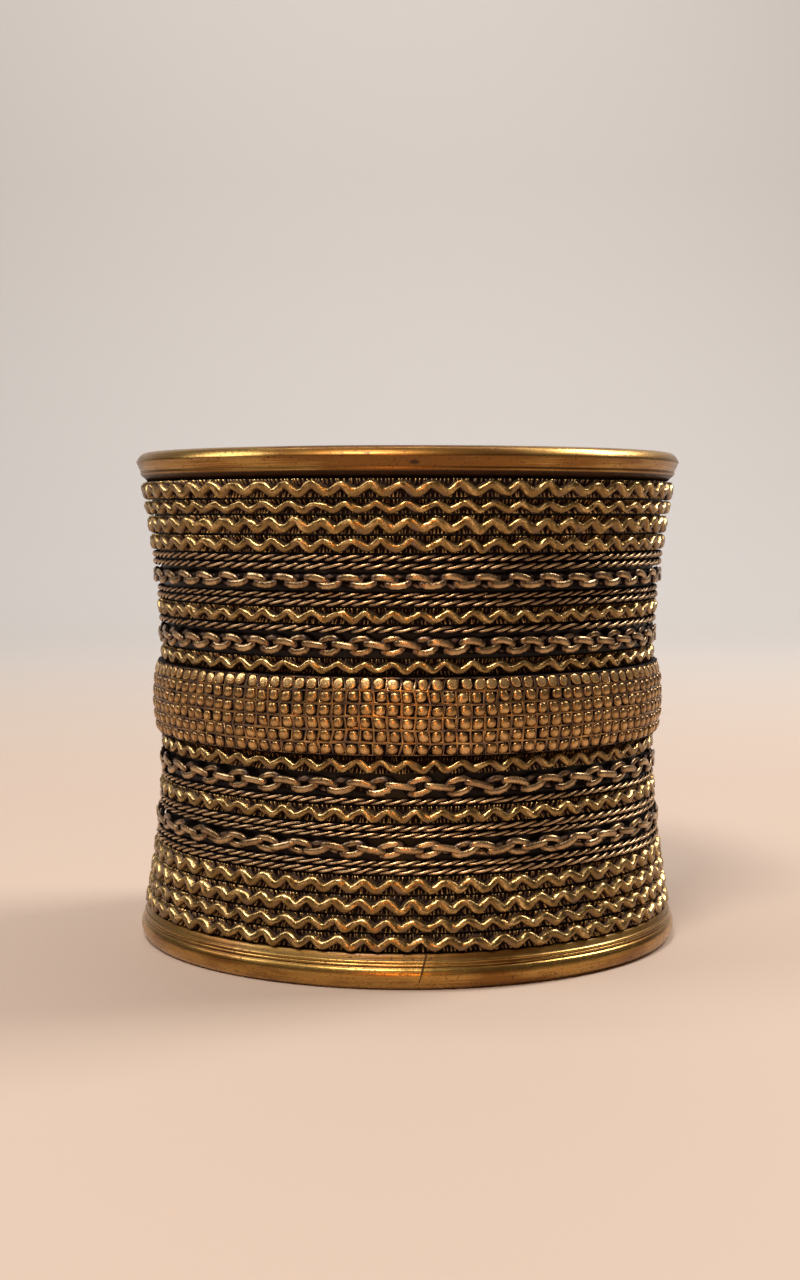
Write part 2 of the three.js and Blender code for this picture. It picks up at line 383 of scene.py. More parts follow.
# What warms the brass, as warm tarnish and painted reflection, what dirties it, with painted shade, and how
# rough that makes it
PAINTED_REFLECTION_WARMTH = 0.22
LINE_WARMTH = 0.5
WARM_FROM = 0.42
WARM_TO = 0.66
SPECK_FROM = 0.57
SPECK_TO = 0.68
SPECK_DIRT = 0.6
SMUDGE_DIRT = 0.8
SPECK_GRIME = 0.35
CLOUD_GRIME = 0.5
DIRT_DULLNESS = 0.45
POLISH_ROUGHNESS = 0.27
DIRT_ROUGHNESS = 0.26
WARM_ROUGHNESS = 0.06
LINE_ROUGHNESS = 0.2
SPECK_BUMP = 0.8

# Studio, in metres: a floor that sweeps up into a backdrop, a soft room and lamps
FLOOR_FRONT = -3.0
FLOOR_BACK = 0.5
FLOOR_HALF_WIDTH = 3.0
SWEEP_RADIUS = 0.25
SWEEP_STEPS = 8
BACKDROP_TOP = 1.6
FLOOR_NEAR = 0.05
FLOOR_FAR = 0.6
NEAR_COLOUR = (0.525, 0.405, 0.325, 1)
FAR_COLOUR = (0.65, 0.615, 0.585, 1)
ROOM_COLOUR = (0.72, 0.66, 0.60, 1)
ROOM_STRENGTH = 0.13
CUFF_MIDDLE = (0, 0, 0.035)
BACKDROP_MIDDLE = (0, 0.75, 0.5)
LAMPS = [
    {"name": "overhead", "place": (-0.12, -0.30, 0.5), "aim": CUFF_MIDDLE,
     "sides": (0.14, 0.14), "power": 2.2, "colour": (1.0, 0.96, 0.89)},
    {"name": "right_window", "place": (0.4, 0.15, 0.5), "aim": CUFF_MIDDLE,
     "sides": (0.2, 0.2), "power": 2.9, "colour": (1.0, 0.97, 0.93)},
    {"name": "left_window", "place": (-0.46, -0.05, 0.42), "aim": CUFF_MIDDLE,
     "sides": (0.25, 0.25), "power": 1.15, "colour": (0.95, 0.97, 1.0)},
    {"name": "backdrop_wash", "place": (0.0, 0.2, 0.9), "aim": BACKDROP_MIDDLE,
     "sides": (0.8, 0.3), "power": 4.5, "colour": (0.98, 0.98, 1.0)},
    {"name": "warm_lamp", "place": (-0.04, -0.5, 0.14), "aim": CUFF_MIDDLE,
     "sides": (0.05, 0.22), "power": 0.36, "colour": (1.0, 0.42, 0.1)},
]

# Camera: lens and sensor in millimetres, place beside and in front of the oval's middle, height, and tilt
# below level
CAMERA_LENS = 44.97
CAMERA_SENSOR = 36
CAMERA_SIDE = -0.95 * MM
CAMERA_DISTANCE = 208.4 * MM
CAMERA_HEIGHT = 54.2 * MM
CAMERA_TILT = math.radians(4.47)
CAMERA_CLIP = 0.01


def oval_table():
    """Distance along a row, from the middle of the front, against the angle round the oval."""
    end = math.pi - OPENING_HALF_ANGLE
    angle = np.linspace(-end, end, OVAL_SAMPLES)
    x = (HALF_WIDTH - MIDDLE_INSET) * np.sin(angle)
    y = (HALF_DEPTH - MIDDLE_INSET) * np.cos(angle)
    along = np.concatenate(([0.0], np.cumsum(np.hypot(np.diff(x), np.diff(y)))))
    return along - along[-1] / 2, angle


ROW_ALONG, ROW_ANGLE = oval_table()
LENGTH = ROW_ALONG[-1] - ROW_ALONG[0]


def wall_face(up):
    """Half width of the wall's outer face at a height."""
    return WAIST_REACH + FLARE * ((up - WAIST) / FLARE_HEIGHT) ** 2


def row_span(node):
    """Heights of a solid's foot and top."""
    low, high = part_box(node)
    return low.z, high.z


def wander(along, seed, wavelength):
    """A smooth repeatable wander between about -1 and 1."""
    draw = random.Random(seed)
    total = np.zeros_like(along)
    for wave in WANDER_WAVES:
        total += np.sin(math.tau * wave * along / wavelength + draw.uniform(0, math.tau)) / wave
    return total / WANDER_SCALE


def uneven(quality, along, across=0.0, seed=0):
    """The stray of one quality of a handmade row, from its table."""
    place = along + quality["slant"] * across
    return quality["by"] * wander(place, seed + quality["draw"], quality["over"] * MM)


def inside_ends(along):
    """0 at the two ends of a row, and 1 from a millimetre inside them."""
    return np.clip((LENGTH / 2 - np.abs(along)) / MM, 0, 1)


def coords(mesh):
    """Places of a mesh's points, one to a line."""
    flat = np.empty(3 * len(mesh.vertices), np.float32)
    mesh.vertices.foreach_get("co", flat)
    return flat.reshape(-1, 3).astype(float)


def move_to(mesh, along, reach, up):
    """Writes a mesh's places back, in straight stock's own three directions."""
    places = np.stack((along, reach, up), axis=1).astype(np.float32)
    mesh.vertices.foreach_set("co", places.ravel())
    mesh.update()


def mesh_of(shape):
    """A mesh from a bmesh, which is freed."""
    mesh = bpy.data.meshes.new("stock")
    shape.to_mesh(mesh)
    shape.free()
    return mesh


def upright_edges(shape):
    """Edges that run from the foot to the top of a shape one unit high."""
    return [edge for edge in shape.edges if abs(edge.verts[0].co.z - edge.verts[1].co.z) > 0.5]


def stock(corners, steps):
    """Straight stock of a row's length with closed ends.

    Gives its mesh, and each point's distance along the row and corner of the section. Corners run from the
    top, round the outside to the foot and back inside.
    """
    shape = bmesh.new()
    bmesh.ops.create_cone(shape, cap_ends=True, segments=corners, radius1=1, radius2=1, depth=1)
    bmesh.ops.subdivide_edges(shape, edges=upright_edges(shape), cuts=steps - 1)
    mesh = mesh_of(shape)
    outward, upward, share = coords(mesh).T
    corner = np.rint(np.arctan2(outward, upward) / math.tau * corners).astype(int) % corners
    return mesh, share * LENGTH, corner


def column(section, name):
    """One column of a table."""
    return np.array([row[name] for row in section])


def repeated(shape, count):
    """Copies a unit, as one mesh. Gives the mesh, and each point's copy and its place in its own unit."""
    points = len(shape.verts)
    holder = bpy.data.objects.new("unit", mesh_of(shape))
    bpy.context.scene.collection.objects.link(holder)
    array = holder.modifiers.new("row", "ARRAY")
    array.count = count
    array.use_relative_offset = False
    array.use_constant_offset = True
    array.constant_offset_displace = (UNIT_SPACING, 0, 0)
    depsgraph = bpy.context.evaluated_depsgraph_get()
    mesh = bpy.data.meshes.new_from_object(holder.evaluated_get(depsgraph))
    unit = holder.data
    bpy.data.objects.remove(holder)
    bpy.data.meshes.remove(unit)
    x, y, z = coords(mesh).T
    copy = np.arange(len(x)) // points
    return mesh, copy, (x - copy * UNIT_SPACING, y, z)


def joined(parts):
    """One mesh from several, with the rub of each point, partly painted light: parts are pairs of a mesh and
    its rub.
    """
    shape = bmesh.new()
    for mesh, rub_and_light in parts:
        shape.from_mesh(mesh)
        bpy.data.meshes.remove(mesh)
    return mesh_of(shape), np.concatenate([rub_and_light for mesh, rub_and_light in parts])


def bend_round(mesh):
    """Bends straight stock round the oval. The front faces -y, so the bend turns the faces over."""
    along, reach, up = coords(mesh).T
    angle = np.interp(along, ROW_ALONG, ROW_ANGLE)
    inside = RIM_REACH - reach
    x = (HALF_WIDTH - inside) * np.sin(angle)
    y = CENTRE_Y - (HALF_DEPTH - inside) * np.cos(angle)
    move_to(mesh, x, y, up)
    mesh.flip_normals()


def finish_piece(name, mesh, rub_and_light, node, material):
    """Keeps each point's rub, partly painted light, and its flat place, bends the mesh and puts it in its
    solid's place.
    """
    kept_rub = np.clip(rub_and_light, 0, 1).astype(np.float32)
    kept_place = (coords(mesh) / MM).astype(np.float32)
    mesh.attributes.new("rub_and_light", "FLOAT", "POINT").data.foreach_set("value", kept_rub)
    mesh.attributes.new("flat", "FLOAT_VECTOR", "POINT").data.foreach_set("vector", kept_place.ravel())
    bend_round(mesh)
    mesh.polygons.foreach_set("use_smooth", [True] * len(mesh.polygons))
    mesh.materials.append(material)
    mesh.name = name
    piece = bpy.data.objects.new(name, mesh)
    bpy.context.scene.collection.objects.link(piece)
    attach(piece, "root")
    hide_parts(node)


class Value:
    """A number that varies over a surface. Arithmetic on it adds Math nodes."""

    def __init__(self, finish, socket):
        self.finish = finish
        self.socket = socket

    def math(self, operation, first, second, clamp=False):
        settings = {"operation": operation, "use_clamp": clamp}
        return self.finish.value("ShaderNodeMath", settings, {0: first, 1: second})

    def __add__(self, other):
        return self.math("ADD", self, other)

    def __radd__(self, other):
        return self.math("ADD", other, self)

    def __sub__(self, other):
        return self.math("SUBTRACT", self, other)

    def __rsub__(self, other):
        return self.math("SUBTRACT", other, self)

    def __mul__(self, other):
        return self.math("MULTIPLY", self, other)

    def __rmul__(self, other):
        return self.math("MULTIPLY", other, self)

    def held(self):
        """Kept between 0 and 1."""
        return self.math("ADD", self, 0.0, clamp=True)

    def stray(self, by):
        """A noise's stray from its middle, by a given measure."""
        return (self - NOISE_MIDDLE) * by

    def over(self, low, high):
        """0 below low, 1 above high, and smooth between them."""
        settings = {"interpolation_type": "SMOOTHSTEP"}
        inputs = {"Value": self, "From Min": low, "From Max": high, "To Min": 0.0, "To Max": 1.0}
        return self.finish.value("ShaderNodeMapRange", settings, inputs)


class Finish:
    """A material, built up node by node."""

    def __init__(self, name):
        self.material = bpy.data.materials.new(name)
        self.material.use_nodes = True
        self.tree = self.material.node_tree
        self.shader = self.tree.nodes["Principled BSDF"]

    def node(self, kind, settings=None, inputs=None):
        made = self.tree.nodes.new(kind)
        for name, setting in (settings or {}).items():
            setattr(made, name, setting)
        for socket, given in (inputs or {}).items():
            self.feed(made.inputs[socket], given)
        return made

    def value(self, kind, settings, inputs, output=0):
        return Value(self, self.node(kind, settings, inputs).outputs[output])

    def feed(self, socket, given):
        if isinstance(given, Value):
            given = given.socket
        if isinstance(given, bpy.types.NodeSocket):
            self.tree.links.new(given, socket)
        else:
            socket.default_value = given

    def rub_and_light(self):
        """How far the patina is rubbed away, or a rim's groove is kept clean; on some pieces it also holds
        painted light and painted shade.
        """
        return self.value("ShaderNodeAttribute", {"attribute_name": "rub_and_light"}, {}, "Fac")

    def placed(self, stretch, place=(0, 0, 0)):
        """The place on the flat stock, in millimetres, stretched and then moved."""
        flat = self.node("ShaderNodeAttribute", {"attribute_name": "flat"}).outputs["Vector"]
        inputs = {"Vector": flat, "Scale": stretch, "Location": place}
        return self.node("ShaderNodeMapping", {}, inputs).outputs["Vector"]

    def noise(self, scale, detail, stretch=(1, 1, 1)):
        """Noise on the flat stock, with scale in features to the millimetre."""
        place = self.placed(stretch)
        inputs = {"Vector": place, "Scale": scale, "Detail": detail, "Roughness": NOISE_ROUGHNESS}
        return self.value("ShaderNodeTexNoise", {}, inputs, "Fac")

    def spot(self, along, up, width, height):
        """1 in the middle of an oval spot on the flat stock, and 0 outside it. Sizes in millimetres."""
        stretch = (2 / width, 0, 2 / height)
        place = (-2 * along / width, 0, -2 * up / height)
        settings = {"operation": "LENGTH"}
        far = self.value("ShaderNodeVectorMath", settings, {0: self.placed(stretch, place)}, "Value")
        return 1.0 - far.over(SPOT_CORE, 1.0)

    def mix(self, share, first, second):
        """A colour between two others. The node's sockets 6 and 7 and output 2 are those of its colours."""
        settings = {"data_type": "RGBA"}
        return self.node("ShaderNodeMix", settings, {0: share, 6: first, 7: second}).outputs[2]

    def bump(self, height, depth, strength):
        inputs = {"Height": height, "Distance": depth, "Strength": strength}
        self.feed(self.shader.inputs["Normal"], self.node("ShaderNodeBump", {}, inputs).outputs["Normal"])

    def surface(self, **sockets):
        for name, given in sockets.items():
            self.feed(self.shader.inputs[name.replace("_", " ")], given)


def antique_brass(name, crest, body, recess, bared_from, bared_to, mottle):
    """Brass with brown-black patina in its recesses, a dull bronze film above it and rubbed crests, set by
    the rub, which on some pieces also holds painted light and painted shade.
    """
    finish = Finish(name)
    grain = finish.noise(scale=4.5, detail=4.0)
    blotch = finish.noise(scale=0.4, detail=3.0)
    rub_and_light = finish.rub_and_light() + grain.stray(mottle) + blotch.stray(BLOTCH)
    bared_and_lit = rub_and_light.over(bared_from, bared_to)
    golden = rub_and_light.over(bared_to - GOLD_BEFORE, bared_to + GOLD_AFTER)
    bright = rub_and_light.over(bared_to + GOLD_AFTER, BRIGHTEST_RUB)
    dull = finish.mix(bared_and_lit, recess, FILM)
    gold = finish.mix(bright, body, crest)
    finish.surface(
        Base_Color=finish.mix(golden, dull, gold),
        Metallic=(bared_and_lit * RUBBED_METAL).held(),
        Roughness=(PATINA_ROUGHNESS - bared_and_lit * RUBBED_POLISH + grain.stray(GRAIN_ROUGHNESS)).held(),
        Specular_IOR_Level=0.05,
    )
    finish.bump(grain, depth=0.04 * MM, strength=0.5)
    return finish.material


def polished_brass(name, bright, warm_tarnish_and_reflection, tarnish_and_shade, grime_from, grime_to):
    """Polished brass with fine rubbing lines, warm tarnish, two warm darker painted reflections on the rims'
    fronts, dark lines in its grooves and painted shade where the rims' section holds the metal dark.
    """
    finish = Finish(name)
    lines = finish.noise(scale=2.0, detail=4.0, stretch=(0.06, 1.0, 5.0))
    cloud = finish.noise(scale=0.16, detail=4.0, stretch=(0.5, 1.0, 1.6))
    speck = finish.noise(scale=3.2, detail=3.0)
    # Painted reflection: two soft spots warm and darken the middle of the rims' fronts, for the darker room
    # that they reflect
    painted_reflection = finish.spot(**UPPER_PAINTED_REFLECTION) + finish.spot(**LOWER_PAINTED_REFLECTION)
    warmth_and_painted_reflection = (cloud + lines.stray(LINE_WARMTH) + painted_reflection * PAINTED_REFLECTION_WARMTH).over(WARM_FROM, WARM_TO)
    metal = finish.mix(warmth_and_painted_reflection, bright, warm_tarnish_and_reflection)
    spots = speck.over(SPECK_FROM, SPECK_TO) * SPECK_DIRT
    smudge = finish.spot(**SMUDGE) * SMUDGE_DIRT
    # Tarnish in the grooves, with painted shade where the rims' section holds the metal dark
    grime_and_shade = finish.rub_and_light() + speck.stray(SPECK_GRIME) + cloud.stray(CLOUD_GRIME)
    dirt_and_shade = (1.0 - grime_and_shade.over(grime_from, grime_to) + spots + smudge).held()
    roughness = POLISH_ROUGHNESS + dirt_and_shade * DIRT_ROUGHNESS + warmth_and_painted_reflection * WARM_ROUGHNESS
    finish.surface(
        Base_Color=finish.mix(dirt_and_shade, metal, tarnish_and_shade),
        Metallic=(1.0 - dirt_and_shade * DIRT_DULLNESS).held(),
        Roughness=(roughness + lines.stray(LINE_ROUGHNESS)).held(),
        Specular_IOR_Level=0.2,
        Coat_Weight=0.25,
        Coat_Roughness=0.25,
    )
    finish.bump(lines + speck * SPECK_BUMP, depth=0.02 * MM, strength=0.4)
    return finish.material


def floor_paint():
    """Pale paint, warmer towards the front."""
    finish = Finish("pale_floor")
    place = finish.node("ShaderNodeTexCoord").outputs["Object"]
    distance = finish.value("ShaderNodeSeparateXYZ", {}, {"Vector": place}, "Y")
    colour = finish.mix(distance.over(FLOOR_NEAR, FLOOR_FAR), NEAR_COLOUR, FAR_COLOUR)
    finish.surface(Base_Color=colour, Roughness=0.7)
    return finish.material


def zigzag_ridge(strip, low, high, seed):
    """The raised zigzag: a square-shouldered bar that swings up and down along the strip."""
    middle = (low + high) / 2
    pitch = strip["pitch"] * MM
    peak_at = strip["peak_at"] * MM
    scale = (high - low) / STRIP_HEIGHT

    def stray(name, along, across=0.0):
        return uneven(RIDGE_UNEVEN[name], along, across, seed)

    def wave(along):
        phase = stray("slow_phase", along) + stray("quick_phase", along)
        turn = np.cos(math.tau * (along - peak_at) / pitch + phase)
        straight = np.arcsin(RIDGE_CORNER * turn) * 2 / math.pi
        return (1 - RIDGE_STRAIGHT) * turn + RIDGE_STRAIGHT * straight

    def centre_line(along):
        swing = RIDGE_SWING * scale * (1 + stray("swing", along))
        return swing * wave(along) + stray("level", along) * MM

    mesh, along, corner = stock(len(RIDGE_SECTION), RIDGE_STEPS)
    across = column(RIDGE_SECTION, "across")[corner] * MM
    rise = column(RIDGE_SECTION, "rise")[corner] * MM
    rub_and_light = column(RIDGE_SECTION, "rub_and_light")[corner]
    slope = (centre_line(along + RIDGE_PROBE) - centre_line(along - RIDGE_PROBE)) / (2 * RIDGE_PROBE)
    square = np.hypot(1, slope)
    breadth = strip["breadth"] * scale * (1 + stray("breadth", along) - RIDGE_THINNING * slope)
    sag = np.where(across < 0, RIDGE_SAG * scale * (1 - wave(along)) / 2, 0)
    proud = rise > RIDGE_FOOT
    lump = stray("lump", along, across) * proud
    dent = stray("dent", along, across) * proud
    up = middle + centre_line(along) + (across * breadth + lump * MM) / square - sag
    lean = inside_ends(along) * across * breadth * slope / square
    move_to(mesh, along - lean, wall_face(up) + rise + dent * MM, up)
    return mesh, rub_and_light + DENT_RUB * dent


def tick_row():
    """Fine upright ribs, as a mesh with each point's rib and its place in its own rib."""
    shape = bmesh.new()
    bmesh.ops.create_cube(shape, size=1)
    bmesh.ops.subdivide_edges(shape, edges=upright_edges(shape), cuts=2)
    return repeated(shape, int(LENGTH / TICK_SPACING))


def zigzag_ticks(ticks, low, high, seed):
    """Fine ribs across the ground of a strip, standing a little higher at the strip's two edges."""
    row, rib, (across, depth, share) = ticks
    mesh = row.copy()
    count = rib[-1] + 1
    draw = np.random.default_rng(seed)
    shift = draw.normal(0, TICK_SHIFT, count)[rib]
    lean = draw.normal(0, TICK_LEAN, count)[rib]
    rise = draw.uniform(*TICK_RISE_SPREAD, count)[rib]
    outer = depth > 0
    ends = np.abs(share) > TICK_END_FROM
    up = (low + high) / 2 + share * (high - low - 2 * STRIP_INSET)
    top = np.where(ends, TICK_END_RISE, TICK_RISE) * rise
    width = TICK_WIDTH * np.where(outer, TICK_TAPER, 1.0)
    middle = (rib + 0.5) * TICK_SPACING - LENGTH / 2
    along = np.clip(middle + across * width + shift + 2 * lean * share, -LENGTH / 2, LENGTH / 2)
    move_to(mesh, along, wall_face(up) + np.where(outer, top, TICK_FOOT), up)
    return mesh, np.where(outer, np.where(ends, TICK_END_RUB, TICK_RUB), 0.0) * rise


def zigzag_ground(low, high):
    """The thin flat strip that a zigzag stands on."""
    top = high - STRIP_INSET
    foot = low + STRIP_INSET
    mesh, along, corner = stock(4, SHEET_STEPS)
    up = np.array([top, top, foot, foot])[corner]
    rise = np.array([GROUND_FOOT, GROUND_RISE, GROUND_RISE, GROUND_FOOT])[corner]
    move_to(mesh, along, wall_face(up) + rise, up)
    return mesh, np.zeros(len(along))


def zigzag_strip(strip, ticks, seed, material):
    """A strip with its ground, ridge and ticks."""
    low, high = row_span(strip["node"])
    mesh, rub_and_light = joined([
        zigzag_ground(low, high),
        zigzag_ridge(strip, low, high, seed),
        zigzag_ticks(ticks, low, high, seed),
    ])
    name = strip["node"].replace("strip", "relief")
    finish_piece(name, mesh, rub_and_light, strip["node"], material)


def rope(row, seed, material):
    """Three wires twisted together, with strokes that climb to the right."""
    low, high = row_span(row["node"])
    middle = (low + high) / 2
    wire = (high - low) / 2 / (1 + STRAND_SPREAD)
    stroke = row["stroke"] * MM

    def stray(name, along):
        return uneven(ROPE_UNEVEN[name], along, seed=seed)

    strands = []
    for strand in range(STRANDS):
        mesh, along, corner = stock(STRAND_SIDES, int(LENGTH / stroke * STEPS_PER_STROKE))
        around = math.tau * corner / STRAND_SIDES
        phase = stray("slow_phase", along) + stray("quick_phase", along)
        turn = math.tau / STRANDS * (along / stroke + strand) + phase
        climb = STRAND_SPREAD * np.sin(turn) + np.cos(around)
        depth = STRAND_SPREAD * np.cos(turn) + np.sin(around)
        reach = wall_face(middle) + ROW_GAP + wire * (1 + STRAND_SPREAD + depth)
        move_to(mesh, along, reach, middle + wire * climb + stray("level", along) * MM)
        # The row's painted light makes the lower ropes lighter
        strands.append((mesh, (depth - STRAND_RUB_FROM) / STRAND_RUB_SPAN + row["painted_light"]))
    mesh, rub_and_light = joined(strands)
    name = row["node"].replace("rope", "twisted_rope")
    finish_piece(name, mesh, rub_and_light, row["node"], material)


def link_unit():
    """One round link about z, of wire with a radius of 1."""
    shape = bmesh.new()
    turns = [math.tau * i / LINK_SIDES for i in range(LINK_SIDES)]
    ring = [shape.verts.new((LINK_UNIT_RADIUS + math.cos(turn), 0, math.sin(turn))) for turn in turns]
    edges = [shape.edges.new((ring[i - 1], ring[i])) for i in range(LINK_SIDES)]
    bmesh.ops.spin(
        shape, geom=ring + edges, axis=(0, 0, 1), angle=math.tau, steps=LINK_STEPS, use_merge=True,
    )
    bmesh.ops.remove_doubles(shape, verts=shape.verts, dist=UNIT_SLIVER)
    bmesh.ops.recalc_face_normals(shape, faces=shape.faces)
    return shape


def link_places(row, half_length):
    """Number and place of each link that a row has room for: odd ones lie flat, even ones stand on edge."""
    pair = row["pair"] * MM
    most = 2 * int(LENGTH / pair)
    numbers = np.arange(-most, most)
    places = numbers // 2 * pair + row["bar_at"] * MM + row["ring_after"] * MM * (numbers % 2)
    kept = np.abs(places) < LENGTH / 2 - half_length
    return numbers[kept], places[kept]


def link_rub(worn, side):
    """Rub of a link by its depth and by how far a point is on its sides and not on its ends."""
    crest = np.clip((side - LINK_CREST_FROM) / (1 - LINK_CREST_FROM), 0, 1)
    by_side = LINK_SIDE_RUB * (side - LINK_SIDE_MIDDLE) + LINK_CREST_RUB * crest
    return (worn - LINK_RUB_FROM) / LINK_RUB_SPAN + by_side


def chain(row, seed, material):
    """A chain of oval links, every second one turned by a right angle and worn flat in front."""
    low, high = row_span(row["node"])
    middle = (low + high) / 2
    wire = LINK_WIRE / 2
    half_length = row["pair"] * MM / 4 + wire
    half_width = (high - low) / 2 - wire - LINK_CLEARANCE
    numbers, places = link_places(row, half_length + wire)
    count = len(numbers)
    mesh, link, (x, y, offset) = repeated(link_unit(), count)

    # The round link is drawn out to an oval, with its wire kept even
    turn = np.arctan2(-y, x)
    outward = (np.hypot(x, y) - LINK_UNIT_RADIUS) * wire
    offset = offset * wire
    normal = np.hypot(half_width * np.cos(turn), half_length * np.sin(turn))
    run = (half_length + outward * half_width / normal) * np.cos(turn)
    swing = (half_width + outward * half_length / normal) * np.sin(turn)

    # Each link is turned about the row, tilted, worn and set in its place
    draw = np.random.default_rng(seed)
    is_flat = (numbers % 2 == 1)[link]
    place = (places + draw.normal(0, LINK_SHIFT, count))[link]
    sway = np.sin(math.tau * (place / MM - row["start"]) / row["wave"])
    roll = np.radians(row["roll"] + row["swing"] * sway) + draw.normal(0, LINK_ROLL, count)[link]
    tilt = np.radians(np.where(is_flat, row["ring_tilt"], row["bar_tilt"]))
    tilt = tilt + draw.normal(0, LINK_TILT, count)[link]
    facing = np.where(is_flat, 0, math.pi / 2) - roll
    climb = swing * np.cos(facing) - offset * np.sin(facing)
    depth = (swing * np.sin(facing) + offset * np.cos(facing)) * LINK_SQUASH + LINK_SEAT
    worn = np.minimum(depth, LINK_WORN_FROM) + LINK_WORN_SHARE * np.maximum(depth - LINK_WORN_FROM, 0)
    along = place + run * np.cos(tilt) - climb * np.sin(tilt)
    up = middle + run * np.sin(tilt) + climb * np.cos(tilt)
    move_to(mesh, along, wall_face(middle) + worn, np.clip(up, low - LINK_OVERRUN, high + LINK_OVERRUN))

    # The row's painted light: upper chains painted darker, lower chains lighter
    rub_and_light = link_rub(worn, np.abs(np.sin(turn))) + row["painted_light"]
    name = row["node"].replace("chain", "link_chain")
    finish_piece(name, mesh, rub_and_light, row["node"], material)


def band_share(up):
    """Height on the bead band, from -1 at its foot to 1 at its top."""
    return (up - WAIST) / BAND_HALF_HEIGHT


def band_face(up):
    """Half width of the bead band's crowned face at a height."""
    return WAIST_REACH + BAND_CROWN - (BAND_CROWN - BAND_EDGE) * band_share(up) ** 2


def band_drift(along, up):
    """How far the handmade rows of beads stray from true, along the band and upwards."""
    inner = np.clip(1 - np.abs(band_share(up)) ** BAND_EDGE_STEADINESS, 0, 1)
    columns = uneven(BAND_UNEVEN["column"], along, up)
    rows = uneven(BAND_UNEVEN["slow_row"], along, up) + uneven(BAND_UNEVEN["quick_row"], along, up)
    return columns * MM * inside_ends(along), rows * MM * inner


def bead_net():
    """The crowned band under the beads, with a raised web round the place of every bead."""
    mesh, along, corner = stock(BEAD_ROWS + 3, BEAD_COLUMNS)
    levels = np.linspace(BAND_HIGH, BAND_LOW, BEAD_ROWS + 1)
    up = np.concatenate(([BAND_HIGH], levels, [BAND_LOW]))[corner]
    outside = (corner > 0) & (corner < BEAD_ROWS + 2)
    move_to(mesh, along, np.where(outside, band_face(up), wall_face(up) + BAND_FOOT), up)
    shape = bmesh.new()
    shape.from_mesh(mesh)
    bpy.data.meshes.remove(mesh)
    cells = [face for face in shape.faces if all(outside[vert.index] for vert in face.verts)]
    for thickness, depth in ((WEB_HALF_WIDTH, 0.0), (WEB_SLOPE, -WEB_RISE)):
        bmesh.ops.inset_individual(
            shape, faces=cells, thickness=thickness, depth=depth, use_even_offset=True,
        )
    mesh = mesh_of(shape)
    along, reach, up = coords(mesh).T
    stray_along, stray_up = band_drift(along, up)
    web = (reach - band_face(up) > -WEB_RISE / 2) & (np.abs(along) < LENGTH / 2 - SLIVER)
    edge = np.abs(up - WAIST) > BAND_HALF_HEIGHT - SLIVER
    rough = uneven(BAND_UNEVEN["web"], along, up) * web
    climb = stray_up + np.where(edge, 0, rough) * MM
    move_to(mesh, along + stray_along, reach + rough * MM, up + climb)
    return mesh, np.where(web & ~edge, WEB_RUB + WEB_ROUGH_RUB * rough, 0.0)


def bead_unit():
    """Half a ball with a closed foot."""
    shape = bmesh.new()
    bmesh.ops.create_uvsphere(shape, u_segments=BEAD_SIDES, v_segments=BEAD_RINGS, radius=1)
    everything = shape.verts[:] + shape.edges[:] + shape.faces[:]
    bmesh.ops.bisect_plane(
        shape, geom=everything, dist=UNIT_SLIVER, plane_co=(0, 0, 0), plane_no=(0, 0, 1), clear_inner=True,
    )
    bmesh.ops.holes_fill(shape, edges=shape.edges)
    return shape


def bead_domes():
    """Rounded-square beads in rows, no two quite alike, the top row worn flat."""
    count = BEAD_ROWS * BEAD_COLUMNS
    mesh, bead, (x, y, z) = repeated(bead_unit(), count)
    draw = np.random.default_rng(BEAD_DRAW)
    squareness = draw.uniform(*BEAD_SQUARENESS, count)[bead]
    half_length = draw.uniform(*BEAD_LENGTH_SPREAD, count)[bead] * BEAD_HALF_LENGTH
    half_height = draw.uniform(*BEAD_HEIGHT_SPREAD, count)[bead] * BEAD_HALF_HEIGHT
    stand = draw.uniform(*BEAD_RISE_SPREAD, count)[bead] * BEAD_RISE
    shift_along = draw.normal(0, BEAD_SHIFT_ALONG, count)[bead]
    shift_up = draw.normal(0, BEAD_SHIFT_UP, count)[bead]
    skew = draw.normal(0, BEAD_SKEW, count)[bead]

    # Round sides are pulled out to rounded squares, and the top row is cut off flat
    sides = np.abs(x) ** squareness + np.abs(y) ** squareness + TINY
    pull = np.hypot(x, y) / sides ** (1 / squareness)
    top_row = bead % BEAD_ROWS == 0
    dome = np.clip(z, 0, 1) ** BEAD_FULLNESS
    cut = np.minimum(dome, TOP_ROW_CUT + TOP_ROW_DOME * dome) * (1 + TOP_ROW_LEAN * y)
    height = np.where(top_row, cut, dome)

    middle_along = (bead // BEAD_ROWS + 0.5) * LENGTH / BEAD_COLUMNS - LENGTH / 2
    middle_up = BAND_HIGH - (bead % BEAD_ROWS + 0.5) * 2 * BAND_HALF_HEIGHT / BEAD_ROWS
    stray_along, stray_up = band_drift(middle_along, middle_up)
    along = middle_along + stray_along + shift_along + (x - skew * y) * pull * half_length
    up = middle_up + stray_up + shift_up - y * pull * half_height
    move_to(mesh, along, band_face(up) - WEB_RISE + height * stand, up)
    return mesh, BEAD_FOOT_RUB + BEAD_CROWN_RUB * dome + np.where(top_row, TOP_ROW_RUB * z, 0)


def bead_band(material):
    """The band round the waist, with its web and its beads."""
    mesh, rub_and_light = joined([bead_net(), bead_domes()])
    finish_piece("beaded_band", mesh, rub_and_light, "bead_band", material)


def crack_line(up):
    """Distance along the row at which the crack runs at a height."""
    heights = [CRACK_FOOT["up"] * MM, CRACK_TOP["up"] * MM]
    places = [CRACK_FOOT["along"] * MM, CRACK_TOP["along"] * MM]
    return np.interp(up, heights, places)


